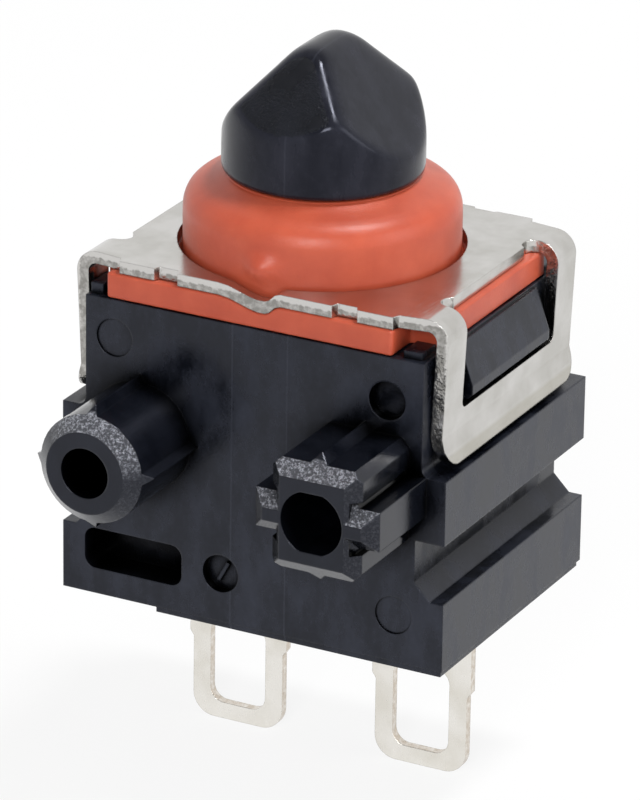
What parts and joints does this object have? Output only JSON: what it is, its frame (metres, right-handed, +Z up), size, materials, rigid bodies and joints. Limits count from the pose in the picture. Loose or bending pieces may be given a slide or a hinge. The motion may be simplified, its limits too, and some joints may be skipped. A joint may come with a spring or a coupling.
{
  "type": "pushbutton switch",
  "caption": "Sealed subminiature pushbutton switch with a wedge-topped plunger in a silicone boot, locating posts on its mounting face and looped solder lugs.",
  "frame": {"origin": "on the axis of the round post, in the plane of the mounting face", "axes": "+X along the mounting face from the round post to the keyed post, +Y from the mounting face to the back, +Z up along the plunger"},
  "size_m": [0.0132, 0.0133, 0.0242],
  "materials": {
    "black_pbt": "glass-filled PBT, matt as moulded",
    "plunger_pbt": "glass-filled PBT, matt with a spark-eroded end facet",
    "natural_pbt": "natural PBT, matt as moulded",
    "silicone_rubber": "orange-red silicone, soft satin",
    "spring_steel": "stainless spring strip, rolled, deburred",
    "spring_wire": "drawn stainless spring wire",
    "phosphor_bronze": "phosphor bronze strip, rolled",
    "silver_alloy": "silver alloy rivet, satin",
    "tinned_brass": "bright tin plate over stamped brass",
    "epoxy_resin": "black epoxy, self-levelled, glossy"
  },
  "bodies": {
    "body": {"housing": "black_pbt", "base": "black_pbt", "sealing_resin": "epoxy_resin", "cover": "spring_steel", "boot": "silicone_rubber", "return_spring": "spring_wire", "fixed_contact_left": "silver_alloy", "fixed_contact_right": "silver_alloy", "terminal_left": "tinned_brass", "terminal_right": "tinned_brass"},
    "plunger": {"plunger": "plunger_pbt", "contact_carrier": "natural_pbt", "contact_spring": "spring_wire"},
    "bridge": {"contact_bridge": "phosphor_bronze", "moving_contact_left": "silver_alloy", "moving_contact_right": "silver_alloy"}
  },
  "joints": [
    {"name": "plunger_press", "type": "slide", "parent": "body", "child": "plunger", "axis": [0, 0, -1], "range_m": [0, 0.0016], "stiffness_N_per_m": 800, "springref_m": -0.0015, "deforming": ["boot", "return_spring"]},
    {"name": "bridge_overtravel", "type": "slide", "parent": "plunger", "child": "bridge", "axis": [0, 0, 1], "range_m": [0, 0.00072], "deforming": ["contact_spring"]}
  ],
  "couplings": [
    {"joint": "bridge_overtravel", "follows": "plunger_press", "ratio": 0.445}
  ]
}
